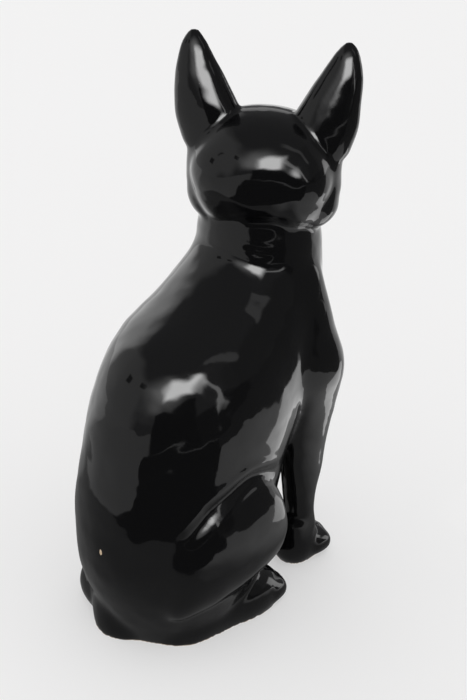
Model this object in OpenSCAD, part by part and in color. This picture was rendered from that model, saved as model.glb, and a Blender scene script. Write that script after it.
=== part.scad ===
// Seated ceramic cat, slip-cast and black-glazed.
// The head, ears, legs, haunches and feet are moulded apart and luted to a
// hollow trunk, and a bare clay slab closes the trunk from below.
// The cat faces -Y, +Z is up, and the floor is the plane z = 0.

/* [Trunk] */
// height of the flat neck joint above the floor
trunk_h = 228; // [190:1:274]
// widest width of the trunk, at the hips
trunk_w = 108; // [90:1:130]
// depth of the trunk, from the rump to the breast
trunk_d = 168; // [140:1:200]
// thickness of the cast clay wall
wall = 5; // [3.5:0.5:7]

/* [Neck joint] */
// outer diameter of the collar that the head is luted onto
collar_d = 46; // [38:1:56]
// height of that collar
collar_h = 10; // [6:1:14]
// gap left for slip between the collar and its socket
joint_gap = 0.3; // [0.1:0.1:0.6]

/* [Head] */
// width across the skull
head_w = 82; // [68:1:98]
// length from the back of the skull to the nose
head_l = 84; // [72:1:100]
// height of the skull
head_h = 66; // [56:1:78]
// how far the head is turned to the cat's left
head_turn = 32; // [0:1:40]
// how far the head leans to the cat's right
head_tilt = 2; // [0:1:8]
// diameter of each eye
eye_d = 13; // [10:0.5:16]

/* [Ears] */
// length of an ear from its root inside the skull
ear_h = 72; // [60:1:86]
// width of an ear at its root
ear_w = 36; // [30:1:43]
// thickness of an ear's clay leaf
ear_t = 4.5; // [3.5:0.5:6]

/* [Forelegs] */
// height above the floor of a foreleg's root, inside the shoulder
foreleg_l = 190; // [160:1:210]
// width of a foreleg at the shoulder
shoulder_w = 34; // [28:1:41]
// width of a forepaw
paw_w = 27; // [22:1:32]

/* [Hindquarters] */
// length of a haunch from the rump to the knee
haunch_l = 90; // [77:1:104]
// height of a haunch across its thigh
haunch_h = 75; // [64:1:88]
// how far a haunch stands out from the middle plane
haunch_out = 60; // [50:1:72]
// length of a hind foot
foot_l = 79; // [67:1:93]
// width of a hind foot across the toes
foot_w = 28; // [23:1:33]

/* [Tail] */
// diameter of the tail half way along
tail_d = 20; // [17:1:24]

/* [Base slab] */
// thickness of the slab
slab_t = 6; // [4:0.5:9]
// width of the slab
slab_w = 64; // [53:1:70]
// length of the slab
slab_l = 70; // [64:1:74]
// gap all round between the slab and its rebate
slab_gap = 0.4; // [0.2:0.1:0.8]
// width of the ledge that the slab is set against
slab_ledge = 4; // [2:0.5:6]
// diameter of the vent that lets air out in the kiln
vent_d = 12; // [8:1:16]

/* [Hidden] */
body_glaze = "#17171a";
bare_clay = "#c9a77c";
big = 400;
slab_y = 0.14 * trunk_d;        // middle of the slab
neck_y = -0.275 * trunk_d;       // axis of the neck
head_z = trunk_h + 0.47 * head_h;

// ---- smooth forms, lofted through a few hand-set sections ----

// a value on the smooth curve that passes through four neighbours
function curve(a, b, c, d, t) = 0.5 * (2 * b + (c - a) * t
    + (2 * a - 5 * b + 4 * c - d) * t * t + (3 * b - a - 3 * c + d) * t * t * t);

// the sections s, with n steps between each and the next
function faired(s, n) = [for (i = [0:len(s) - 2], j = [0:n - 1])
    curve(s[max(i - 1, 0)], s[i], s[i + 1], s[min(i + 2, len(s) - 1)], j / n),
    s[len(s) - 1]];

// section = [x, y, z, lean, half width, back, front]: an oval round x, y, z,
// whose lean is 0 lying flat and 90 standing up
function oval(s, n) = [for (k = [0:n - 1])
    let (u = s[4] * cos(360 * k / n), q = sin(360 * k / n),
         v = q * (q > 0 ? s[5] : s[6]))
    [s[0] + u, s[1] + v * cos(s[3]), s[2] + v * sin(s[3])]];

module loft(sections, sides, steps) {
    f = faired(sections, steps);
    last = len(f) - 1;
    polyhedron(
        points = [for (s = f) each oval(s, sides)],
        faces = [[for (k = [0:sides - 1]) k],
            for (i = [0:last - 1], k = [0:sides - 1])
                let (a = i * sides + k, b = i * sides + (k + 1) % sides)
                each [[a, a + sides, b + sides], [a, b + sides, b]],
            [for (k = [sides - 1:-1:0]) last * sides + k]]);
}

// a soft swelling that runs from point a to point b
module swell(a, ra, b, rb) hull() {
    translate(a) sphere(ra, $fn = 18);
    translate(b) sphere(rb, $fn = 18);
}

// what is above the floor
module standing() difference() {
    children();
    translate([-big / 2, -big / 2, -big]) cube(big);
}

// ---- trunk ----

// each rib = [spine y, spine z, chest y, chest z, half width], in per cent of
// the trunk's depth, height and half width
ribs = [
    [38.5, -1, -10.5, -1,  74],
    [46.5,  6, -13.5,  5,  82],
    [52,   20, -15.5, 16,  96],
    [51.5, 37, -19.5, 26, 100],
    [48,   52, -26.5, 38,  97],
    [42.5, 66, -34.5, 48,  97],
    [31,   78, -42.5, 60,  92],
    [9.5,  86, -46.5, 72,  80],
    [-4.5, 93.5, -47.5, 83, 69],
    [-6.5, 99, -47.5, 91,  66],
    [-8,  106, -46.5, 102, 61]];

// the rib as a section, drawn in by the thickness t
function rib(b, t) =
    let (y0 = b[0] * trunk_d / 100, z0 = b[1] * trunk_h / 100,
         y1 = b[2] * trunk_d / 100, z1 = b[3] * trunk_h / 100,
         half = norm([y0 - y1, z0 - z1]) / 2 - t)
    [0, (y0 + y1) / 2, (z0 + z1) / 2, atan2(z0 - z1, y0 - y1),
     b[4] * trunk_w / 200 - t, half, half];

module trunk_skin(t, sides, steps) difference() {
    loft([for (b = ribs) rib(b, t)], sides, steps);
    translate([-big / 2, -big / 2, trunk_h - t]) cube(big);
}

// a roll of skin over the nape at one of the ribs, from side to side
module nape_fold(at, r) {
    line = oval(rib(ribs[at], r - 0.8), 16);
    for (k = [1:6]) hull() for (p = [line[k], line[k + 1]])
        translate(p) sphere(r, $fn = 12);
}

module trunk_form() standing() {
    trunk_skin(0, 44, 3);
    // a soft fold over the nape, under the head
    nape_fold(9, 6);
    // where the shoulders run up into the neck
    for (s = [-1, 1])
        swell([s * 0.25 * trunk_w, -0.286 * trunk_d, 0.868 * trunk_h], 13,
              [s * 0.315 * trunk_w, -0.286 * trunk_d, 0.737 * trunk_h], 16);
    // the rump's lobes on either side of the tail's root
    swell([9, 57, 24], 22, [7, 60, 6], 21);
    swell([-17, 43, 26], 24, [-15, 43, 6], 24);
}

// the slab's outline, drawn in by t
module slab_outline(t) translate([0, slab_y]) hull()
    for (s = [-1, 1]) translate([0, s * (slab_l - slab_w) / 2])
        circle(d = slab_w - 2 * t, $fn = 72);

module torso() color(body_glaze) difference() {
    union() {
        trunk_form();
        translate([0, neck_y, trunk_h - wall]) cylinder(d = collar_d, h = wall + collar_h, $fn = 72);
    }
    difference() {
        trunk_skin(wall, 28, 2);
        translate([-big / 2, -big / 2, slab_t + wall - big]) cube(big);
    }
    translate([0, neck_y, trunk_h - 2 * wall])
        cylinder(d = collar_d - 2 * wall, h = 2 * wall + collar_h + 1, $fn = 48);
    translate([0, 0, -1]) linear_extrude(slab_t + 1) slab_outline(-slab_gap);
    linear_extrude(slab_t + wall + 1) slab_outline(slab_ledge);
}

module base_slab() color(bare_clay) linear_extrude(slab_t) difference() {
    slab_outline(0);
    translate([0, slab_y]) circle(d = vent_d, $fn = 48);
}

// ---- head ----

// the head's own place: its middle at the origin, nose towards -Y
module at_head() translate([-3, neck_y, head_z]) rotate([0, -head_tilt, head_turn])
    children();

// a point on the head, in per cent of its half width, length and half height
function on_head(x, y, z) = [x * head_w / 200, y * head_l / 100, z * head_h / 200];

// each section = [y, z, half width, up, down], in the same per cents
skull = [
    [ 47,   0,   4,   4,   4],
    [ 44,   0,  42,  46,  44],
    [ 31,   2,  80,  86,  80],
    [ 10,   3, 100, 100,  92],
    [-12,   0,  97,  90,  92],
    [-26,  -8,  74,  66,  80],
    [-40, -26,  48,  36,  54],
    [-50, -32,  32,  24,  36],
    [-53, -32,   5,   6,   8]];

module skull_skin(t, sides, steps) loft([for (s = skull)
    [0, s[0] * (head_l - 2 * t) / 100, s[1] * head_h / 200, 90,
     s[2] * (head_w - 2 * t) / 200, s[3] * (head_h - 2 * t) / 200,
     s[4] * (head_h - 2 * t) / 200]], sides, steps);

module head_form() at_head() {
    skull_skin(0, 36, 3);
    swell(on_head(-36.6, 16, 0), 24, on_head(36.6, 16, 0), 24);
    for (s = [-1, 1]) {
        // back of the skull, temple, cheek, jaw, brow and whisker pad
        swell(on_head(s * 36.6, 15.5, 6), 23.5, on_head(s * 39, 16.7, -24), 21);
        swell(on_head(s * 73, 7, 39), 12.5, on_head(s * 73, 7, -24), 13);
        swell(on_head(s * 63, 8, -48), 16.5, on_head(s * 48, -16, -64), 13);
        swell(on_head(s * 40, 8, -66), 14, on_head(s * 22, -30, -70), 10);
        swell(on_head(s * 44, -22, 30), 9, on_head(s * 22, -31, 12), 6);
        swell(on_head(s * 17, -45, -46), 7.5, on_head(s * 26, -38, -50), 8);
    }
    // chin, and the bridge of the nose
    swell(on_head(0, -44, -70), 6, on_head(0, -34, -72), 8);
    swell(on_head(0, -49, -24), 5, on_head(0, -30, 4), 8);
}

module eye_ball(s) at_head() translate(on_head(s * 47, -29, -4))
    rotate([0, 0, s * 34]) scale([1, 0.8, 0.9]) sphere(d = eye_d, $fn = 22);

module eye(s) color(body_glaze) eye_ball(s);

module head() color(body_glaze) difference() {
    head_form();
    trunk_form();
    at_head() skull_skin(wall + 1, 20, 2);
    translate([0, neck_y, trunk_h - 1])
        cylinder(d = collar_d + 2 * joint_gap, h = collar_h + joint_gap + 1, $fn = 72);
    translate([0, neck_y, trunk_h - 1]) cylinder(d = collar_d - 2 * wall, h = head_h / 3, $fn = 48);
    for (s = [-1, 1]) eye_ball(s);
}

// ---- ears ----

// each section = [out, y, up, half width, back, front]: out and up in mm for
// an ear 70 long, the rest in per cent of its width
ear_leaf = [
    [27,  6, 10, 50, 34, 26],
    [31,  6, 25, 52, 32, 26],
    [35,  5, 40, 43, 27, 22],
    [38.5, 4, 54, 31, 19, 15],
    [40.5, 3, 65, 19, 12,  9],
    [41,  2, 71,  6,  4,  4]];

// the hollow in front starts above the root
ear_scoop = [for (i = [1:5]) ear_leaf[i]];

module ear_solid(s, sections, t, ahead) at_head() loft([for (e = sections)
    [s * e[0] * head_w / 82, e[1] - ahead, e[2] * ear_h / 70, 0,
     max(e[3] * ear_w / 100 - t, 0.4), max(e[4] * ear_w / 100 - t, 0.4),
     e[5] * ear_w / 100 + t]], 24, 3);

module ear(s) color(body_glaze) difference() {
    ear_solid(s, ear_leaf, 0, 0);
    ear_solid(s, ear_scoop, ear_t, ear_t);
    head_form();
}

// ---- legs ----

// each section = [x, y, z, half width, back, front]: z in per cent of the
// foreleg's length, the rest in mm for a shoulder 34 wide
foreleg_sections = [
    [26, -55,  12, 11,   9,  9],
    [26, -54,  20, 10,  10,  9],
    [27, -54,  32, 11,  13, 12],
    [29, -54,  48, 13,  18, 15],
    [32, -53,  62, 16,  24, 18],
    [35, -52,  74, 19,  29, 18],
    [34, -51,  85, 17,  26, 15],
    [30, -50,  94, 12,  18, 12],
    [27, -49, 100,  3,   4,  4]];

module foreleg_form(s) {
    k = shoulder_w / 34;
    loft([for (f = foreleg_sections)
        [s * f[0] * trunk_w / 108, f[1], f[2] * foreleg_l / 100, 0,
         f[3] * k, f[4] * k, f[5] * k]], 26, 2);
    // the paw, and its four toes
    translate([s * 26 * trunk_w / 108, -54, 0]) {
        swell([0, 2, 10], paw_w * 0.48, [0, 2, 26], 10.5 * k);
        swell([-s, 2, 8], paw_w * 0.5, [-s, -12, 6], paw_w * 0.43);
        for (t = [-1.5:1:1.5])
            swell([t * paw_w * 0.2 - s, -6, 8], 8, [t * paw_w * 0.21 - s, -16 + abs(t) * 2, 7], 7.5);
    }
}

module foreleg(s) color(body_glaze) standing() difference() {
    foreleg_form(s);
    trunk_form();
}

// ---- haunches and hind feet ----

// each section = [in, y, z, half width, up, down] in mm for a haunch 90 long,
// 75 high; in is how far its middle lies inside haunch_out
haunch_sections = [
    [30,  74, 50,  3,  4,  4],
    [28,  68, 52, 14, 26, 26],
    [24,  54, 58, 19, 38, 32],
    [20,  34, 62, 20, 42, 33],
    [19,  12, 63, 20, 42, 30],
    [20,  -4, 62, 18, 32, 26],
    [22, -12, 61, 11, 15, 15],
    [22, -16, 61,  4,  5,  5]];

// the left haunch is set a little further in than the right
function haunch_set(s) = haunch_out - (s > 0 ? 4 : 0);

module haunch_form(s) standing() {
    loft([for (h = haunch_sections)
        [s * (haunch_set(s) - h[0]), 74 + (h[1] - 74) * haunch_l / 90,
         h[2], 90, h[3], h[4] * haunch_h / 75, h[5] * haunch_h / 75]], 28, 2);
}

module haunch(s) color(body_glaze) difference() {
    haunch_form(s);
    foot_form(s);
    trunk_form();
}

// each section = [in, y, z, half width, up, down] in the same way, for a foot
// 79 long and 28 wide
foot_sections = [
    [28,  57, 8,  3,  3,  3],
    [29,  53, 8,  7, 10, 14],
    [28,  43, 9, 10, 15, 16],
    [26,  26, 9, 12, 15, 16],
    [23,   4, 9, 14, 15, 16],
    [24, -11, 8, 12, 13, 14],
    [24, -20, 8,  3,  3,  3]];

module foot_form(s) {
    loft([for (f = foot_sections)
        [s * (haunch_out - f[0]), 57 + (f[1] - 57) * foot_l / 79,
         f[2], 90, f[3] * foot_w / 28, f[4], f[5]]], 24, 2);
    // four toes
    for (t = [-1.5:1:1.5])
        translate([s * (haunch_out - 23) + t * foot_w * 0.165, 60 - foot_l, 0])
            swell([0, 12, 8], 8, [0, 3 + abs(t) * 2, 7], 7);
}

module hind_foot(s) color(body_glaze) standing() difference() {
    foot_form(s);
    trunk_form();
}

// ---- tail ----

// each section = [x, y, z, radius]: the tail's middle line from the rump, round
// the left haunch to its tip, for a trunk 168 deep
tail_line = [
    [12,   62, 14,  14],
    [26,   61, 11,  12],
    [39,   55, 8.5, 11],
    [48,   42, 8,   10.5],
    [50.5, 24, 8,   10],
    [51,    4, 7.5, 9.5],
    [50,  -14, 7,   9],
    [46,  -28, 7,   8],
    [42,  -34, 6,   5.5]];

module tail_form() standing() {
    f = faired(tail_line, 2);
    for (i = [0:len(f) - 2]) hull() for (p = [f[i], f[i + 1]])
        translate([p[0] * haunch_out / 60, p[1], p[2]]) sphere(p[3] * tail_d / 20, $fn = 16);
}

module tail() color(body_glaze) difference() {
    tail_form();
    foot_form(1);
    haunch_form(1);
    trunk_form();
}

torso();
base_slab();
head();
ear(1);  // left_ear
ear(-1);  // right_ear
eye(1);  // left_eye
eye(-1);  // right_eye
foreleg(1);  // left_foreleg
foreleg(-1);  // right_foreleg
haunch(1);  // left_haunch
haunch(-1);  // right_haunch
hind_foot(1);  // left_hind_foot
hind_foot(-1);  // right_hind_foot
tail();
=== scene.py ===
import math

import bmesh
import bpy
import numpy as np
from mathutils import Matrix, Vector, noise
from mathutils.bvhtree import BVHTree


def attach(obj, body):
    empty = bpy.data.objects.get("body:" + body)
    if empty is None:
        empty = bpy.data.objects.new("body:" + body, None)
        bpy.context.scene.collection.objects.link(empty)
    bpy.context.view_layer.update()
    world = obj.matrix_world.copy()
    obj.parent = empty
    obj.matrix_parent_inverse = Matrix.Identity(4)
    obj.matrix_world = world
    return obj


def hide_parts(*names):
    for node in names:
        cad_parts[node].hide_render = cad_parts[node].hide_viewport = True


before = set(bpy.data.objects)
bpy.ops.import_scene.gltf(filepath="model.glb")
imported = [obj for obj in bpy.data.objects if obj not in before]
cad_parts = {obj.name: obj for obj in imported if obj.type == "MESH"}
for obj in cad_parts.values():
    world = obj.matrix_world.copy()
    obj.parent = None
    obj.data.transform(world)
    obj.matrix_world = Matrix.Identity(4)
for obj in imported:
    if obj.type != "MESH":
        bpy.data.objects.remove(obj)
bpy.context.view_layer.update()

MM = 0.001

# ---------------------------------------------------------------- the studio
# The cat stands on a large sheet of white card in plain soft light. Soft boxes
# and dark flags round it are seen only in the glaze.

camera = bpy.data.cameras.new("viewer")
camera.lens, camera.sensor_width = 80, 36
viewer = bpy.data.objects.new("viewer", camera)
bpy.context.collection.objects.link(viewer)
bpy.context.scene.camera = viewer
bpy.context.scene.view_settings.view_transform = "Standard"


def towards(turn, rise):
    """The direction at that many degrees round the cat and above the horizon."""
    turn, rise = math.radians(turn), math.radians(rise)
    return Vector((math.sin(turn) * math.cos(rise), -math.cos(turn) * math.cos(rise),
                   math.sin(rise)))


viewer.location = (-0.5169, 0.5510, 0.5952)
viewer.rotation_euler = towards(222, 30).to_track_quat("Z", "Y").to_euler()


def linear(colour):
    """An sRGB hex colour as linear red, green, blue and alpha."""
    parts = [int(colour[i:i + 2], 16) / 255 for i in (1, 3, 5)]
    return [c / 12.92 if c <= 0.04045 else ((c + 0.055) / 1.055) ** 2.4 for c in parts] + [1]


def add(tree, kind, inputs=(), **settings):
    """A new node of that kind, with its settings, and values or links for its inputs."""
    node = tree.nodes.new(kind)
    for key, value in settings.items():
        setattr(node, key, value)
    for key, value in dict(inputs).items():
        if isinstance(value, bpy.types.NodeSocket):
            tree.links.new(value, node.inputs[key])
        else:
            node.inputs[key].default_value = value
    return node


def new_material(name):
    """An empty material and its node tree."""
    made = bpy.data.materials.new(name)
    made.use_nodes = True
    made.node_tree.nodes.clear()
    return made, made.node_tree


def as_object(bm, name):
    mesh = bpy.data.meshes.new(name)
    bm.to_mesh(mesh)
    bm.free()
    mesh.polygons.foreach_set("use_smooth", [True] * len(mesh.polygons))
    made = bpy.data.objects.new(name, mesh)
    bpy.context.collection.objects.link(made)
    return made


def seen_by(obj, eye, glaze):
    """Whether the camera sees a thing, and whether the glaze mirrors it."""
    obj.visible_camera, obj.visible_glossy = eye, glaze
    obj.visible_diffuse = obj.visible_shadow = eye
    obj.visible_transmission = obj.visible_volume_scatter = False


# The sheet: matt white card, as wide as the room, in metres from its middle.
room = 9
card, tree = new_material("white_card")
place = add(tree, "ShaderNodeTexCoord").outputs["Object"]
share = add(tree, "ShaderNodeMapping", {"Vector": place, "Location": (0.5, 0.5, 0.5),
                                        "Scale": (0.5 / room, 0.5 / room, 0.5 / room)})
fibre = add(tree, "ShaderNodeTexNoise", {"Vector": share.outputs[0], "Scale": 3.0,
                                         "Detail": 4.0})
tone = add(tree, "ShaderNodeMix", {"Factor": fibre.outputs["Fac"], "A": linear("#bcbbbb"),
                                   "B": linear("#c3c3c3")}, data_type="RGBA")
shader = add(tree, "ShaderNodeBsdfPrincipled", {
    "Base Color": tone.outputs[2], "Roughness": 0.9, "Specular IOR Level": 0.1,
    "Emission Color": linear("#ffffff"), "Emission Strength": 0.42})
add(tree, "ShaderNodeOutputMaterial", {"Surface": shader.outputs[0]})
bm = bmesh.new()
bmesh.ops.create_circle(bm, segments=96, radius=room, cap_ends=True)
sheet = as_object(bm, "sheet")
sheet.data.materials.append(card)
seen_by(sheet, True, False)

# The same sheet as the glaze mirrors it, with its light and shade painted into its glow:
# painted shade makes it dim close to the cat, and painted light makes it brighter farther
# off, brighter again on the cat's right, and brightest beyond it.
painted_shade_and_light, tree = new_material("white_card_painted_shade_and_light")
place = add(tree, "ShaderNodeTexCoord").outputs["Object"]
away = add(tree, "ShaderNodeVectorMath", {0: place}, operation="LENGTH")
# painted shade: the sheet is dim within about 0.3 m of the cat and lighter beyond
light = add(tree, "ShaderNodeMapRange", {
    "Value": away.outputs["Value"], "From Min": 0.29, "From Max": 0.31,
    "To Min": 0.20, "To Max": 0.52}).outputs[0]
# each side brightened with painted light: which way, where it starts and is full in metres, and
# how bright
for turn, start, stop, high in ((42, 0.02, 0.30, 0.95), (300, 0.05, 0.17, 0.66)):
    side = add(tree, "ShaderNodeVectorMath", {0: place, 1: towards(turn, 0)},
               operation="DOT_PRODUCT")
    ramp = add(tree, "ShaderNodeMapRange", {"Value": side.outputs["Value"], "From Min": start,
                                            "From Max": stop, "To Min": 0.0, "To Max": high},
               interpolation_type="SMOOTHSTEP")
    light = add(tree, "ShaderNodeMath", {0: light, 1: ramp.outputs[0]},
                operation="MAXIMUM").outputs[0]
glow = add(tree, "ShaderNodeEmission", {"Strength": light})
add(tree, "ShaderNodeOutputMaterial", {"Surface": glow.outputs[0]})
bm = bmesh.new()
bmesh.ops.create_circle(bm, segments=96, radius=room, cap_ends=True,
                        matrix=Matrix.Translation((0, 0, -0.4 * MM)))
under = as_object(bm, "sheet_in_the_glaze")
under.data.materials.append(painted_shade_and_light)
seen_by(under, False, True)


def floor_card(name, tone, lift, corners):
    """A flat card, cloth, or painted patch of shadow or light that only the glaze sees; corners in
    degrees round and metres off.
    """
    made, tree = new_material(name)
    glow = add(tree, "ShaderNodeEmission", {"Strength": tone})
    add(tree, "ShaderNodeOutputMaterial", {"Surface": glow.outputs[0]})
    bm = bmesh.new()
    bm.faces.new([bm.verts.new(towards(turn, 0) * far + Vector((0, 0, lift * MM)))
                  for turn, far in corners])
    flat = as_object(bm, name)
    flat.data.materials.append(made)
    seen_by(flat, False, True)


# The stand's painted shadow on the sheet, a dark cloth on the cat's right, and a painted pool of
# light on the sheet by it.
# painted shadow: the stand's shade on the sheet, as the glaze mirrors it
floor_card("painted_stand_shadow", 0.055, 0.4, ((165, 0.28), (188, 0.45), (199, 1.35), (275, 1.35),
                                       (262, 0.27), (215, 0.25)))
floor_card("grey_cloth", 0.12, 0.6, ((266, 0.50), (283, 0.50), (303, 0.40), (317, 0.33),
                                     (327, 0.36), (329, 1.9), (298, 1.9), (266, 1.9)))
# painted light: a bright pool of light on the sheet, as the glaze mirrors it
floor_card("painted_light_pool", 2.1, 0.8, ((309, 0.22), (318, 0.18), (335, 0.16), (345, 0.22),
                                     (340, 0.42), (329, 0.42), (317, 0.29)))

# The room's pale walls, far off.
wall, tree = new_material("pale_wall")
glow = add(tree, "ShaderNodeEmission", {"Color": linear("#f1f1f1")})
add(tree, "ShaderNodeOutputMaterial", {"Surface": glow.outputs[0]})
bm = bmesh.new()
bmesh.ops.create_uvsphere(bm, u_segments=48, v_segments=24, radius=room)
walls = as_object(bm, "walls")
walls.data.materials.append(wall)
seen_by(walls, True, False)
walls.visible_shadow = False

world = bpy.data.worlds.new("studio")
world.use_nodes = True
bpy.context.scene.world = world
world.node_tree.nodes["Background"].inputs["Color"].default_value = linear("#7c7c7d")

# Each lamp: degrees round and above, how wide it looks, and its strength.
for name, turn, rise, spread, strength in (("overhead", 60, 75, 80, 0.25),
                                           ("fill", 215, 50, 80, 0.15)):
    lamp = bpy.data.lights.new(name, "SUN")
    lamp.energy, lamp.angle = strength, math.radians(spread)
    sun = bpy.data.objects.new(name, lamp)
    bpy.context.collection.objects.link(sun)
    sun.rotation_euler = towards(turn, rise).to_track_quat("Z", "Y").to_euler()
    sun.visible_glossy = False


cat_middle = Vector((0, 0, 0.16))


def panel(name, turn, rise, distance, width, height, tone, edge, lean=0):
    """A soft box or a dark flag that faces the cat, sized in degrees as the cat sees it."""
    made, tree = new_material(name)
    place = add(tree, "ShaderNodeTexCoord")
    axes = add(tree, "ShaderNodeSeparateXYZ", {"Vector": place.outputs["Object"]})
    fades = []
    for axis, size in (("X", width), ("Y", height)):
        out = add(tree, "ShaderNodeMath", {0: axes.outputs[axis]}, operation="ABSOLUTE")
        half = math.tan(math.radians(size / 2)) * distance
        fades.append(add(tree, "ShaderNodeMapRange", {
            "Value": out.outputs[0], "From Min": half * (1 - edge), "From Max": half,
            "To Min": 1.0, "To Max": 0.0}, interpolation_type="SMOOTHSTEP"))
    both = add(tree, "ShaderNodeMath", {0: fades[0].outputs[0], 1: fades[1].outputs[0]},
               operation="MULTIPLY")
    glow = add(tree, "ShaderNodeEmission", {"Strength": tone})
    clear = add(tree, "ShaderNodeBsdfTransparent")
    mix = add(tree, "ShaderNodeMixShader", {"Fac": both.outputs[0], 1: clear.outputs[0],
                                            2: glow.outputs[0]})
    add(tree, "ShaderNodeOutputMaterial", {"Surface": mix.outputs[0]})
    bm = bmesh.new()
    bmesh.ops.create_grid(bm, x_segments=1, y_segments=1, size=1)
    for v in bm.verts:
        v.co.x *= math.tan(math.radians(width / 2)) * distance
        v.co.y *= math.tan(math.radians(height / 2)) * distance
    board = as_object(bm, name)
    board.data.materials.append(made)
    board.location = cat_middle + towards(turn, rise) * distance
    facing = towards(turn, rise).to_track_quat("Z", "Y").to_matrix().to_4x4()
    board.rotation_euler = (facing @ Matrix.Rotation(math.radians(lean), 4, "Z")).to_euler()
    seen_by(board, False, True)


# Each panel: degrees round and above, metres off, width and height in degrees,
# brightness, how soft its edge is, and its lean.
panel("side_wall", 132, 20, 3.0, 100, 70, 0.55, 0.4)
panel("far_window", 76, 14, 2.8, 46, 70, 1.6, 0.6)
panel("glow_round_lamp", 210, 30, 1.3, 66, 46, 2.2, 0.95)
panel("stand", 226, -1, 1.2, 48, 30, 0.05, 0.1)
panel("stand_right", 264, -6, 1.25, 46, 22, 0.07, 0.15)
panel("right_room", 288, 20, 2.6, 46, 50, 0.15, 0.5)
panel("right_card", 299, -1, 1.8, 52, 18, 0.12, 0.1)
panel("lamp", 228, 31, 0.65, 46, 28, 11.0, 0.6)
panel("strip", 259, 13, 1.15, 5, 40, 2.2, 0.4, 34)
panel("strip_short", 268, 44, 1.2, 8, 30, 0.65, 0.3, 40)
panel("flag_left", 146, 27, 1.6, 10, 9, 0.1, 0.2)
panel("flag_middle", 173, 34, 1.6, 10, 8, 0.1, 0.2)
panel("far_right_window", 335, 4, 2.5, 22, 26, 2.2, 0.4)
panel("front_window", 40, 24, 2.5, 40, 20, 0.9, 0.5)

# ---------------------------------------------------------------- the trunk
# A hollow bell of black-glazed earthenware, slip-cast in a two-part mould. The
# back falls in one line to a broad rump, and the breast drops steeply in front.

trunk_h, trunk_w, trunk_d = 228, 108, 168
neck_y = -0.275 * trunk_d


def faired(stations, steps):
    """The stations, with others on a smooth curve between each and the next."""
    s = np.array(stations, float)
    run = []
    for i in range(len(s) - 1):
        a, b, c, d = s[max(i - 1, 0)], s[i], s[i + 1], s[min(i + 2, len(s) - 1)]
        for t in np.arange(steps) / steps:
            run.append(0.5 * (2 * b + (c - a) * t + (2 * a - 5 * b + 4 * c - d) * t ** 2
                              + (3 * b - a - 3 * c + d) * t ** 3))
    return run + [s[-1]]


def drawn_out(bm, stations, steps=6, sides=72, place=Matrix()):
    """A closed form drawn through ovals: x, y, z, lean, half width, back, front, in mm."""
    turn = bm.verts.layers.float.get("turn") or bm.verts.layers.float.new("turn")
    ring = bmesh.ops.create_circle(bm, segments=sides, radius=1)["verts"]
    for v in ring:
        v[turn] = math.atan2(v.co.y, v.co.x)
    rim = list({e for v in ring for e in v.link_edges})
    ends = [rim]
    for k, (x, y, z, lean, half, back, front) in enumerate(faired(stations, steps)):
        if k:
            grown = bmesh.ops.extrude_edge_only(bm, edges=rim)["geom"]
            ring = [g for g in grown if isinstance(g, bmesh.types.BMVert)]
            new = set(ring)
            rim = [g for g in grown if isinstance(g, bmesh.types.BMEdge)
                   and g.verts[0] in new and g.verts[1] in new]
        c, s = math.cos(math.radians(lean)), math.sin(math.radians(lean))
        for v in ring:
            up = math.sin(v[turn])
            up *= back if up > 0 else front
            v.co = place @ (Vector((x + half * math.cos(v[turn]), y + up * c, z + up * s)) * MM)
    for edges in (ends[0], rim):
        bmesh.ops.edgeloop_fill(bm, edges=edges)


def swell(bm, a, ra, b, rb, place=Matrix()):
    """A soft swelling that runs from a to b, in mm."""
    pair = bmesh.new()
    for at, r in ((a, ra), (b, rb)):
        bmesh.ops.create_icosphere(pair, subdivisions=3, radius=r * MM,
                                   matrix=place @ Matrix.Translation(Vector(at) * MM))
    hull = bmesh.ops.convex_hull(pair, input=pair.verts)
    inner = [g for g in hull["geom_interior"] if isinstance(g, bmesh.types.BMVert)]
    bmesh.ops.delete(pair, geom=inner, context="VERTS")
    lump = bpy.data.meshes.new("swell")
    pair.to_mesh(lump)
    pair.free()
    bm.from_mesh(lump)
    bpy.data.meshes.remove(lump)


def cut_level(bm, z, keep_above):
    """What is above or below a height in mm, closed flat there."""
    way = -1 if keep_above else 1
    cut = bmesh.ops.bisect_plane(bm, geom=bm.verts[:] + bm.edges[:] + bm.faces[:],
                                 plane_co=(0, 0, z * MM), plane_no=(0, 0, way), clear_outer=True)
    edges = [g for g in cut["geom_cut"] if isinstance(g, bmesh.types.BMEdge)]
    bmesh.ops.holes_fill(bm, edges=edges)


clay = {}


def shaped(name, bm):
    """Keeps a form of wet clay under its piece's name until the cat is luted together."""
    bmesh.ops.recalc_face_normals(bm, faces=bm.faces[:])
    clay[name] = bm


# Each rib: spine y and z, breast y and z, and half width, in per cent of the
# trunk's depth, height and half width.
ribs = [(38.5, -7, -10.5, -7, 74), (46.5, 6, -13.5, 5, 82), (52, 20, -15.5, 16, 96),
        (51.5, 37, -19.5, 26, 100), (48, 52, -26.5, 38, 97), (42.5, 66, -34.5, 48, 97),
        (31, 78, -42.5, 60, 92), (9.5, 86, -46.5, 72, 80), (-4.5, 93.5, -47.5, 83, 69),
        (-6.5, 99, -47.5, 91, 66), (-8, 106, -46.5, 102, 61)]


def rib_oval(rib):
    y0, z0, y1, z1 = (rib[0] * trunk_d / 100, rib[1] * trunk_h / 100,
                      rib[2] * trunk_d / 100, rib[3] * trunk_h / 100)
    half = math.hypot(y0 - y1, z0 - z1) / 2
    return (0, (y0 + y1) / 2, (z0 + z1) / 2, math.degrees(math.atan2(z0 - z1, y0 - y1)),
            rib[4] * trunk_w / 200, half, half)


bm = bmesh.new()
drawn_out(bm, [rib_oval(r) for r in ribs], 7, 96)
cut_level(bm, trunk_h + 8, False)
for s in (-1, 1):
    # where the shoulders run up into the neck
    swell(bm, (s * 27, -48, 198), 13, (s * 34, -48, 168), 16)
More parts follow.
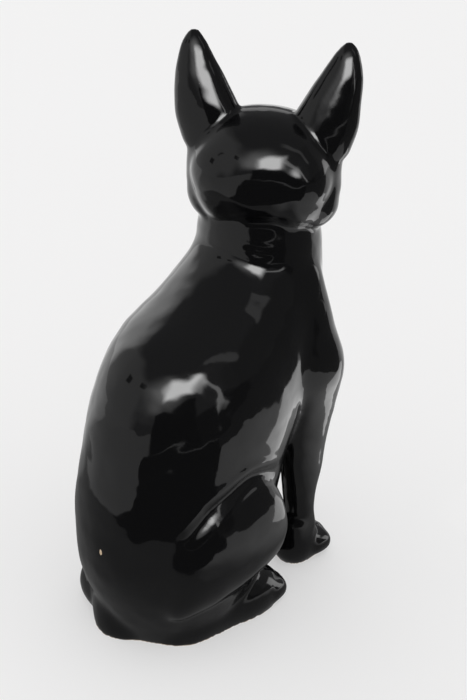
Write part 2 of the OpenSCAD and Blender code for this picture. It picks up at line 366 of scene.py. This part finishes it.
# the rump's lobes on either side of the tail's root
swell(bm, (9, 57, 24), 22.5, (7, 60, 5), 21.5)
swell(bm, (-17, 43, 26), 25, (-15, 43, 5), 24.5)
shaped("torso", bm)

# ---------------------------------------------------------------- the head
# Pressed in its own mould and luted on the neck, turned to the cat's left. The
# cheeks are full, and the muzzle is short and calm.

head_w, head_l, head_h = 82, 84, 66
head_at = (Matrix.Translation(Vector((-3, neck_y, trunk_h + 0.47 * head_h)) * MM)
           @ Matrix.Rotation(math.radians(32), 4, "Z") @ Matrix.Rotation(math.radians(-2), 4, "Y"))


def on_head(x, y, z):
    """A place on the head, in mm, from per cents of its half width, length and half height."""
    return (x * head_w / 200, y * head_l / 100, z * head_h / 200)


bm = bmesh.new()
swell(bm, (-15, 13.5, 0), 24, (15, 13.5, 0), 24, head_at)
drawn_out(bm, [(0, y * head_l / 100, z * head_h / 200, 90, half * head_w / 200,
                up * head_h / 200, down * head_h / 200) for y, z, half, up, down in (
    (47, 0, 4, 4, 4), (44, 0, 42, 46, 44), (31, 2, 80, 86, 80), (10, 3, 100, 100, 92),
    (-12, 0, 97, 90, 92), (-26, -8, 74, 66, 80), (-40, -26, 48, 36, 54),
    (-50, -32, 32, 24, 36), (-53, -32, 5, 6, 8))], 6, 72, head_at)
for s in (-1, 1):
    # back of the skull, temple, cheek, jaw, brow and whisker pad
    swell(bm, (s * 15, 13, 2), 23.5, (s * 16, 14, -8), 21, head_at)
    swell(bm, (s * 30, 6, 13), 12.5, (s * 30, 6, -8), 13, head_at)
    swell(bm, on_head(s * 63, 8, -48), 16.5, on_head(s * 48, -16, -64), 13, head_at)
    swell(bm, on_head(s * 40, 8, -66), 14, on_head(s * 22, -30, -70), 10, head_at)
    swell(bm, on_head(s * 44, -22, 30), 9, on_head(s * 22, -31, 12), 6, head_at)
    swell(bm, on_head(s * 17, -45, -46), 7.5, on_head(s * 26, -38, -50), 8, head_at)
# chin, the bridge of the nose, and its tip
swell(bm, on_head(0, -44, -70), 6, on_head(0, -34, -72), 8, head_at)
swell(bm, on_head(0, -49, -24), 5, on_head(0, -30, 4), 8, head_at)
swell(bm, on_head(-5, -54, -24), 3.2, on_head(5, -54, -24), 3.2, head_at)
shaped("head", bm)

# ---------------------------------------------------------------- the ears
# Two broad leaves of clay with rounded tips, hollowed in front with a thumb and
# luted to the crown.

# Each station: out, y and up in mm for a leaf of that height, then half width, back
# and front in per cent of the ear's width.
ear_w, ear_h, ear_t, leaf_h = 36, 72, 4.5, 70
ear_leaf = [(27, 6, 10, 50, 34, 26), (31, 6, 25, 52, 32, 26), (35, 5, 40, 43, 27, 22),
            (38.5, 4, 54, 31, 19, 15), (40.5, 3, 65, 19, 12, 9), (41, 2, 71, 6, 4, 4)]


def ear_form(bm, s, leaf, t, ahead):
    drawn_out(bm, [(s * out, y - ahead, up * ear_h / leaf_h, 0, max(half * ear_w / 100 - t, 0.4),
                    max(back * ear_w / 100 - t, 0.4), front * ear_w / 100 + t)
                   for out, y, up, half, back, front in leaf], 8, 64, head_at)


for s, name in ((1, "left_ear"), (-1, "right_ear")):
    bm, scoop = bmesh.new(), bmesh.new()
    ear_form(bm, s, ear_leaf, 0, 0)
    ear_form(scoop, s, ear_leaf[1:], ear_t, ear_t)
    for form in (bm, scoop):
        bmesh.ops.recalc_face_normals(form, faces=form.faces[:])
    leaf, hollow = as_object(bm, name), as_object(scoop, name + "_hollow")
    cut = leaf.modifiers.new("hollow", "BOOLEAN")
    cut.operation, cut.solver, cut.object = "DIFFERENCE", "MANIFOLD", hollow
    bm = bmesh.new()
    bm.from_object(leaf, bpy.context.evaluated_depsgraph_get())
    shaped(name, bm)
    for form in (leaf, hollow):
        bpy.data.objects.remove(form)

# ---------------------------------------------------------------- the forelegs
# Straight and close together, each with a heavy shoulder, a slight wrist and a
# round paw of four toes.

foreleg_l = 190
toes = (-1.5, -0.5, 0.5, 1.5)
for s, name in ((1, "left_foreleg"), (-1, "right_foreleg")):
    bm = bmesh.new()
    drawn_out(bm, [(s * x, y, z * foreleg_l / 100, 0, half, back, front)
                   for x, y, z, half, back, front in (
        (26, -55, 12, 11, 9, 9), (26, -54, 20, 10, 10, 9), (27, -54, 32, 11, 13, 12),
        (29, -54, 48, 13, 18, 15), (32, -53, 62, 16, 24, 18), (35, -52, 74, 19, 29, 18),
        (34, -51, 85, 17, 26, 15), (30, -50, 94, 12, 18, 12), (27, -49, 100, 3, 4, 4))], 6, 56)
    swell(bm, (s * 26, -52, 10), 13, (s * 26, -52, 26), 10.5)
    swell(bm, (s * 25, -52, 8), 13.5, (s * 25, -66, 6), 11.5)
    for t in toes:
        swell(bm, (s * 25 + t * 5.4, -60, 8), 8, (s * 25 + t * 5.6, -70 + abs(t) * 2, 7), 7.5)
    shaped(name, bm)

# ---------------------------------------------------------------- the haunches and hind feet
# The folded hind legs, pressed flat where they meet the trunk. Each haunch is a
# long rounded mound that ends in the knee, and the hind foot lies under it.

# How far out each haunch and foot stands, and how much closer in the left haunch lies.
haunch_out, left_in = 60, 4
for s, side in ((1, "left"), (-1, "right")):
    bm = bmesh.new()
    out = haunch_out if s < 0 else haunch_out - left_in
    drawn_out(bm, [(s * (out - inset), y, z, 90, half, up, down)
                   for inset, y, z, half, up, down in (
        (30, 74, 50, 3, 4, 4), (28, 68, 52, 14, 26, 26), (24, 54, 58, 19, 38, 32),
        (20, 34, 62, 20, 42, 33), (19, 12, 63, 20, 42, 30), (20, -4, 62, 18, 32, 26),
        (22, -12, 61, 11, 15, 15), (22, -16, 61, 4, 5, 5))], 7, 64)
    shaped(side + "_haunch", bm)
    bm = bmesh.new()
    drawn_out(bm, [(s * (haunch_out - inset), y, z, 90, half, up, down)
                   for inset, y, z, half, up, down in (
        (28, 57, 8, 3, 3, 3), (29, 53, 8, 7, 10, 14), (28, 43, 9, 10, 15, 16),
        (26, 26, 9, 12, 15, 16), (23, 4, 9, 14, 15, 16), (24, -11, 8, 12, 13, 14),
        (24, -20, 8, 3, 3, 3))], 6, 48)
    for t in toes:
        swell(bm, (s * 37 + t * 4.6, -7, 8), 8, (s * 37 + t * 4.6, -16 + abs(t) * 2, 7), 7)
    shaped(side + "_hind_foot", bm)

# ---------------------------------------------------------------- the tail
# Rolled by hand and laid on the floor round the cat's left side, with its tip
# against the forepaw.

bm = bmesh.new()
line = faired([(12, 62, 14, 14), (26, 61, 11, 12), (39, 55, 8.5, 11), (48, 42, 8, 10.5),
               (50.5, 24, 8, 10), (51, 4, 7.5, 9.5), (50, -14, 7, 9), (46, -28, 7, 8),
               (42, -34, 6, 5.5)], 3)
for a, b in zip(line, line[1:]):
    swell(bm, a[:3], a[3], b[:3], b[3])
shaped("tail", bm)

# ---------------------------------------------------------------- luting and smoothing
# The damp pieces are scored and luted with slip. A wet sponge then runs every
# joint into its neighbours before the cat is dried and glazed.

whole = bmesh.new()
for bm in clay.values():
    part = bpy.data.meshes.new("part")
    bm.to_mesh(part)
    whole.from_mesh(part)
    bpy.data.meshes.remove(part)
luted = as_object(whole, "luted")


voxel = 1.2


def settle(obj):
    """Works the object's modifiers into its mesh."""
    worked = obj.evaluated_get(bpy.context.evaluated_depsgraph_get())
    made = bpy.data.meshes.new_from_object(worked)
    obj.modifiers.clear()
    obj.data = made


def one_skin():
    """Every form that overlaps another becomes one skin of even quads, a voxel across."""
    remesh = luted.modifiers.new("slip", "REMESH")
    remesh.mode, remesh.voxel_size = "VOXEL", voxel * MM
    settle(luted)
    luted.data.polygons.foreach_set("use_smooth", [True] * len(luted.data.polygons))


one_skin()


def points(mesh):
    flat = np.empty(len(mesh.vertices) * 3)
    mesh.vertices.foreach_get("co", flat)
    return flat.reshape(-1, 3) / MM


def directions(mesh):
    flat = np.empty(len(mesh.vertices) * 3)
    mesh.vertex_normals.foreach_get("vector", flat)
    return flat.reshape(-1, 3)


def near(at, radius):
    """How strongly a sponge of that radius at a place in mm works each point, 0 to 1."""
    d = np.linalg.norm(points(luted.data) - np.array(at), axis=1) / radius
    return np.clip(1 - d * d, 0, 1) ** 2


def sponge(times, strength):
    """Wipes the clay smooth, as hard at each point as strength says."""
    group = luted.vertex_groups.new(name="sponge")
    for level in range(1, 11):
        chosen = np.nonzero(np.round(strength * 10) == level)[0].tolist()
        if chosen:
            group.add(chosen, level / 10, "REPLACE")
    wipe = luted.modifiers.new("sponge", "SMOOTH")
    wipe.factor, wipe.iterations, wipe.vertex_group = 0.5, times, "sponge"
    settle(luted)
    luted.vertex_groups.clear()


def put(places):
    """Puts the skin's points at those places in mm."""
    luted.data.vertices.foreach_set("co", (places * MM).ravel())
    luted.data.update()


def moved(shift):
    """Moves the skin's points along their normals by shift in mm."""
    put(points(luted.data) + shift[:, None] * directions(luted.data))


def crease(line, width, depth, lip=0.0):
    """A soft groove along a line of places in mm, fading at its ends, with raised lips."""
    v = points(luted.data)
    path = faired(line, 6)
    best, along = np.full(len(v), np.inf), np.zeros(len(v))
    for k, (a, b) in enumerate(zip(path, path[1:])):
        t = np.clip((v - a) @ (b - a) / ((b - a) @ (b - a)), 0, 1)
        d = np.linalg.norm(v - a - t[:, None] * (b - a), axis=1)
        closer = d < best
        best[closer], along[closer] = d[closer], ((k + t) / (len(path) - 1))[closer]
    u = best / width
    fade = np.sin(math.pi * np.clip(along, 0.001, 0.999)) ** 0.6
    moved(fade * (-depth * np.exp(-u * u * 2) + lip * np.exp(-(u - 1.6) ** 2 * 3)))


def press(at, radius, depth):
    """A thumb's dent."""
    moved(-depth * near(at, radius))


def blended(at, radius, times, gain=1.5):
    """Runs the clay together round a place."""
    sponge(times, np.clip(near(at, radius) * gain, 0, 1))


# The whole cat is wiped, the ears' thin leaves only lightly.
ear_root, leaf_root, leaf_touch, head_reach = 282, 284, 0.35, 62
sponge(12, np.where(points(luted.data)[:, 2] > leaf_root, leaf_touch, 1.0))
# The head's swellings run together, and the ears are left alone.
sponge(40, np.where(points(luted.data)[:, 2] > ear_root, 0,
                    np.clip(near(head_at.translation / MM, head_reach) * 1.6, 0, 1)))
# So do shoulder, neck, thigh, hind paw and forepaw, and last the rump: where, how far
# round it in mm, and how many wipes.
for s in (-1, 1):
    blended((s * 46, -30, 168), 50, 120)
    blended((s * 40, -40, 192), 34, 80)
    blended((s * 42, 62, 66), 40, 60)
    blended((s * 37, -16, 8), 24, 30, 2)
    blended((s * 25, -66, 6), 28, 30, 2)
blended((-4, 66, 30), 44, 50)

# It is trimmed flat underneath, and a rebate is cut there for the base slab.
slab_w, slab_l, slab_t, slab_y = 64, 70, 6, 0.14 * trunk_d


def slab_plug(bm, grow, low, high):
    """A stadium-shaped plug round the slab's middle, between two heights in mm."""
    ring = bmesh.ops.create_circle(bm, segments=96, cap_ends=True,
                                   radius=(slab_w / 2 + grow) * MM)["verts"]
    half = (slab_l - slab_w) / 2
    for v in ring:
        v.co += Vector((0, slab_y + math.copysign(half, v.co.y), low)) * MM
    faces = list({f for v in ring for f in v.link_faces})
    grown = bmesh.ops.extrude_face_region(bm, geom=faces)["geom"]
    bmesh.ops.translate(bm, vec=(0, 0, (high - low) * MM),
                        verts=[g for g in grown if isinstance(g, bmesh.types.BMVert)])


# The first cut is all that hangs under the floor, then come the rebate and the opening
# inside its ledge: how far each stands outside the slab, and its two heights.
slab_gap, slab_ledge, plug_low, plug_high, floor_size = 0.7, 4, -20, 60, 400
for grow, low, high in ((None, None, None), (slab_gap, plug_low, slab_t + 0.5),
                        (-slab_ledge, plug_low, plug_high)):
    bm = bmesh.new()
    if grow is None:
        bmesh.ops.create_cube(bm, size=floor_size * MM,
                              matrix=Matrix.Translation((0, 0, -floor_size / 2 * MM)))
    else:
        slab_plug(bm, grow, low, high)
    bmesh.ops.recalc_face_normals(bm, faces=bm.faces[:])
    cutter = as_object(bm, "cutter")
    cut = luted.modifiers.new("cut", "BOOLEAN")
    cut.operation, cut.solver, cut.object = "DIFFERENCE", "MANIFOLD", cutter
    settle(luted)
    bpy.data.objects.remove(cutter)
one_skin()
sponge(3, np.ones(len(luted.data.vertices)))

# The fold at the nape, the crease under it, and the crease above each thigh.
crease([(24, -26, 236), (12, -12, 234), (-4, -6, 233), (-20, -10, 231), (-32, -24, 230)],
       9, -1.1)
crease([(-11, -10, 224), (-17, -13, 222), (-23, -18, 220), (-29, -24, 219)], 2.4, 0.7, 0.2)
for s in (-1, 1):
    crease([(s * 43, 64, 80), (s * 48, 50, 95), (s * 51, 36, 102), (s * 52, 20, 106),
            (s * 51, 5, 102), (s * 48, -5, 96)], 4.5, 2.2, 0.5)


def on_face(*place):
    """A place on the head, in mm in the cat's own frame."""
    return tuple(head_at @ (Vector(on_head(*place)) * MM) / MM)


# The face: the muzzle runs into the cheeks, and each eye has a socket and two lids. The
# mouth and the nostrils are drawn in, and the toes are parted.
paw_out, foot_out = 25, 37
blended(on_face(0, -44, -44), 26, 24, 2)
for s in (-1, 1):
    press(on_face(s * 50, -31, -4), 13, 2.8)
    # upper and lower lid, from the inner corner round to the outer, and half the mouth
    crease([on_face(s * 32, -37, -12), on_face(s * 40, -36, 8), on_face(s * 52, -33, 14),
            on_face(s * 63, -27, 8), on_face(s * 70, -22, -2)], 2.6, -1.3)
    crease([on_face(s * 32, -37, -12), on_face(s * 43, -36, -22), on_face(s * 56, -32, -20),
            on_face(s * 66, -26, -10)], 2.4, -0.9)
    crease([on_face(s * 1, -54, -44), on_face(s * 8, -53, -56), on_face(s * 20, -50, -60),
            on_face(s * 31, -42, -54), on_face(s * 38, -36, -46)], 1.9, 1.1)
    crease([on_face(s * 3, -56, -27), on_face(s * 7, -56, -28), on_face(s * 10, -54, -24)],
           1.5, 1.0)
    for t in (-1, 0, 1):
        # short grooves part the toes of the forepaw and of the hind foot
        crease([(s * paw_out + t * 5.6, -83, 3), (s * paw_out + t * 5.6, -79, 12),
                (s * paw_out + t * 5.2, -68, 17)], 1.8, 1.1)
        crease([(s * foot_out + t * 4.8, -27, 3), (s * foot_out + t * 4.8, -23, 10),
                (s * foot_out + t * 4.6, -14, 16)], 1.7, 0.9)
# the line under the nose
crease([on_face(0, -55, -32), on_face(0, -55, -38), on_face(0, -53, -46)], 1.6, 0.9)

# Clay that is worked by hand is never quite even: each swell's size and height in mm.
swells = ((26, 0.7), (11, 0.26), (5.5, 0.06))
moved(np.array([sum(noise.noise(Vector(p) / across) * high for across, high in swells)
                for p in points(luted.data)]))
# It stands on a flat foot.
foot_flat = 0.7
v = points(luted.data)
v[:, 2] = np.where(v[:, 2] < foot_flat, 0, v[:, 2])
put(v)

# Which piece each patch of the skin belongs to: the form that it lies closest to. Forms
# are looked for up to search mm off, and one that is not found counts as a metre away.
# The rebate's wall and the opening's belong to the trunk.
margin, search, wall_t = 8, 12, 2
skins = {name: BVHTree.FromBMesh(bm) for name, bm in clay.items()}
mesh = luted.data
normals = directions(mesh)
reach = np.full((len(clay), len(mesh.polygons)), 1.0)
middles = np.empty(len(mesh.polygons) * 3)
mesh.polygons.foreach_get("center", middles)
middles = middles.reshape(-1, 3)
for row, (name, bm) in enumerate(clay.items()):
    corners = np.array([v.co for v in bm.verts])
    low, high = corners.min(axis=0) - margin * MM, corners.max(axis=0) + margin * MM
    for i in np.nonzero(((middles > low) & (middles < high)).all(axis=1))[0]:
        found = skins[name].find_nearest(Vector(middles[i]), search * MM)
        if found[0] is not None:
            reach[row, i] = found[3]
label = reach.argmin(axis=0)
x, y, z = middles.T / MM
y = np.maximum(np.abs(y - slab_y) - (slab_l - slab_w) / 2, 0)
in_wall = (np.hypot(x, y) < slab_w / 2 + wall_t) & (z < plug_high + wall_t)
label[in_wall] = list(clay).index("torso")

# ---------------------------------------------------------------- the glaze
# Black gloss over cream earthenware, poured and fired, with faint ripples and a few
# pinholes. It is wiped off the foot, and one chip on the rump shows the clay.

glaze, tree = new_material("black_gloss_glaze")
place = add(tree, "ShaderNodeTexCoord").outputs["Object"]
height = add(tree, "ShaderNodeSeparateXYZ", {"Vector": place}).outputs["Z"]
grit = add(tree, "ShaderNodeTexNoise", {"Vector": place, "Scale": 1 / (2.2 * MM), "Detail": 3.0})
ragged = add(tree, "ShaderNodeTexNoise", {"Vector": place, "Scale": 1 / (9 * MM), "Detail": 3.0})
foot_edge = add(tree, "ShaderNodeMath", {0: ragged.outputs["Fac"], 1: -1.3 * MM, 2: height},
                operation="MULTIPLY_ADD")
foot = add(tree, "ShaderNodeMapRange", {"Value": foot_edge.outputs[0], "From Min": -0.5 * MM,
                                        "From Max": -0.15 * MM, "To Min": 1.0, "To Max": 0.0})
chip_place = Vector((-1.0, 87.6, 68.0)) * MM
chip_at = add(tree, "ShaderNodeVectorMath", {0: place, 1: chip_place},
              operation="SUBTRACT")
chip_shape = add(tree, "ShaderNodeMapping", {"Vector": chip_at.outputs[0],
                                             "Rotation": (0, math.radians(30), 0),
                                             "Scale": (1.5, 0.5, 0.75)})
chip_far = add(tree, "ShaderNodeVectorMath", {0: chip_shape.outputs[0]}, operation="LENGTH")
chip_edge = add(tree, "ShaderNodeMath", {0: grit.outputs["Fac"], 1: 1.6 * MM,
                                         2: chip_far.outputs["Value"]}, operation="MULTIPLY_ADD")
chip = add(tree, "ShaderNodeMapRange", {"Value": chip_edge.outputs[0], "From Min": 2.0 * MM,
                                        "From Max": 2.2 * MM, "To Min": 1.0, "To Max": 0.0})
bare = add(tree, "ShaderNodeMath", {0: foot.outputs[0], 1: chip.outputs[0]}, operation="MAXIMUM")
clay_tone = add(tree, "ShaderNodeMix", {"Factor": grit.outputs["Fac"], "A": linear("#b09474"),
                                        "B": linear("#dccbb0")}, data_type="RGBA")
colour = add(tree, "ShaderNodeMix", {"Factor": bare.outputs[0], "A": linear("#070708"),
                                     "B": clay_tone.outputs[2]}, data_type="RGBA")
# fingermarks and dust dull the gloss a little, in patches about 30 mm across
film = add(tree, "ShaderNodeTexNoise", {"Vector": place, "Scale": 1 / (30 * MM), "Detail": 5.0,
                                        "Roughness": 0.6})
gloss = add(tree, "ShaderNodeMapRange", {"Value": film.outputs["Fac"], "From Min": 0.35,
                                         "From Max": 0.7, "To Min": 0.045, "To Max": 0.10})
dull = add(tree, "ShaderNodeMix", {"Factor": bare.outputs[0], "A": gloss.outputs[0], "B": 0.85},
           data_type="FLOAT")
# ripples 4 mm apart and 0.012 mm high, pinholes 0.3 mm wide, and the clay's grit
ripple = add(tree, "ShaderNodeTexNoise", {"Vector": place, "Scale": 1 / (4 * MM), "Detail": 2.0})
pores = add(tree, "ShaderNodeTexVoronoi", {"Vector": place, "Scale": 1 / (9 * MM)})
pore = add(tree, "ShaderNodeMapRange", {"Value": pores.outputs["Distance"], "From Min": 0.012,
                                        "From Max": 0.035, "To Min": -1.2, "To Max": 0.0})
relief = add(tree, "ShaderNodeMath", {0: ripple.outputs["Fac"], 1: pore.outputs[0]},
             operation="ADD")
rough = add(tree, "ShaderNodeMath", {0: grit.outputs["Fac"], 1: bare.outputs[0]},
            operation="MULTIPLY")
skin = add(tree, "ShaderNodeBump", {"Height": relief.outputs[0], "Distance": 0.012 * MM,
                                    "Strength": 1.0})
sandy = add(tree, "ShaderNodeBump", {"Height": rough.outputs[0], "Distance": 0.25 * MM,
                                     "Normal": skin.outputs[0]})
shader = add(tree, "ShaderNodeBsdfPrincipled", {
    "Base Color": colour.outputs[2], "Roughness": dull.outputs[0], "IOR": 1.5,
    "Normal": sandy.outputs[0]})
add(tree, "ShaderNodeOutputMaterial", {"Surface": shader.outputs[0]})

# Each piece is its own part of the skin, closed where it meets its neighbours. It keeps
# the whole skin's normals, so that no seam shows.
for row, name in enumerate(clay):
    bm = bmesh.new()
    bm.from_mesh(mesh)
    bm.faces.ensure_lookup_table()
    keep = bm.verts.layers.int.new("skin")
    for v in bm.verts:
        v[keep] = v.index + 1
    bmesh.ops.delete(bm, geom=[f for f, n in zip(bm.faces, label) if n != row], context="FACES")
    caps = bmesh.ops.holes_fill(bm, edges=[e for e in bm.edges if e.is_boundary])["faces"]
    bmesh.ops.poke(bm, faces=caps)
    ids = [v[keep] - 1 for v in bm.verts]
    piece = as_object(bm, name + "_clay")
    chosen = [normals[i] if i >= 0 else (0, 0, 0) for i in ids]
    piece.data.normals_split_custom_set_from_vertices(chosen)
    piece.data.materials.append(glaze)
    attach(piece, "root")
    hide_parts(name)
bpy.data.objects.remove(luted)

# ---------------------------------------------------------------- the eyes
# Two beads of clay set in the sockets, with the iris as a low dome inside a ring and a
# slit pupil cut in it, under a brown glaze that is almost black.

eye_d = 13
# The ring round the iris and the slit of the pupil: how far out or long, wide and deep.
ring_out, ring_w, ring_deep = 4.3, 0.45, 0.22
slit_l, slit_w, slit_deep = 2.6, 0.55, 0.3
umber, tree = new_material("brown_gloss_glaze")
place = add(tree, "ShaderNodeTexCoord").outputs["Object"]
mottle = add(tree, "ShaderNodeTexNoise", {"Vector": place, "Scale": 1 / (1.5 * MM), "Detail": 3.0})
colour = add(tree, "ShaderNodeMix", {"Factor": mottle.outputs["Fac"], "A": linear("#1a1005"),
                                     "B": linear("#3a2609")}, data_type="RGBA")
shader = add(tree, "ShaderNodeBsdfPrincipled", {"Base Color": colour.outputs[2],
                                                "Roughness": 0.06, "IOR": 1.5})
add(tree, "ShaderNodeOutputMaterial", {"Surface": shader.outputs[0]})
for s, name in ((1, "left_eye"), (-1, "right_eye")):
    bm = bmesh.new()
    bmesh.ops.create_uvsphere(bm, u_segments=64, v_segments=48, radius=eye_d / 2 * MM)
    for v in bm.verts:
        out = v.co.normalized().z
        off = math.hypot(v.co.x, v.co.y) / MM
        if out > 0:
            # the iris stands proud of a shallow ring, and the slit pupil is sunk
            ring = math.exp(-((off - ring_out) / ring_w) ** 2) * ring_deep
            slit = math.exp(-(v.co.x / MM / slit_w) ** 2
                            - (v.co.y / MM / slit_l) ** 4) * slit_deep
            v.co *= 1 - (ring + slit) * MM / v.co.length
    # the iris faces out of the socket, and the bead is a little flat
    turn = (head_at @ Matrix.Translation(Vector(on_head(s * 47, -29, -4)) * MM)
            @ Matrix.Rotation(math.radians(s * 34), 4, "Z") @ Matrix.Diagonal((1, 0.8, 0.9, 1))
            @ Matrix.Rotation(math.radians(90), 4, "X"))
    bmesh.ops.transform(bm, matrix=turn, verts=bm.verts)
    bead = as_object(bm, name + "_bead")
    bead.data.materials.append(umber)
    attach(bead, "root")
    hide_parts(name)

# ---------------------------------------------------------------- the base slab
# A slab of the same earthenware, rolled out, cut to shape with a round vent, and set
# flush in its rebate. It is left bare, so it is matt and gritty.

bisque, tree = new_material("bare_earthenware")
place = add(tree, "ShaderNodeTexCoord").outputs["Object"]
grog = add(tree, "ShaderNodeTexNoise", {"Vector": place, "Scale": 1 / (1.2 * MM), "Detail": 4.0})
cloud = add(tree, "ShaderNodeTexNoise", {"Vector": place, "Scale": 1 / (14 * MM), "Detail": 3.0})
blend = add(tree, "ShaderNodeMath", {0: grog.outputs["Fac"], 1: cloud.outputs["Fac"]},
            operation="MULTIPLY")
tone = add(tree, "ShaderNodeMapRange", {"Value": blend.outputs[0], "From Min": 0.12,
                                        "From Max": 0.4})
colour = add(tree, "ShaderNodeMix", {"Factor": tone.outputs[0], "A": linear("#b08055"),
                                     "B": linear("#dfc39c")}, data_type="RGBA")
bump = add(tree, "ShaderNodeBump", {"Height": grog.outputs["Fac"], "Distance": 0.2 * MM})
shader = add(tree, "ShaderNodeBsdfPrincipled", {"Base Color": colour.outputs[2],
                                                "Roughness": 0.88, "Normal": bump.outputs[0]})
add(tree, "ShaderNodeOutputMaterial", {"Surface": shader.outputs[0]})
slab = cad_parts["base_slab"]
for slot in slab.material_slots:
    slot.material = bisque
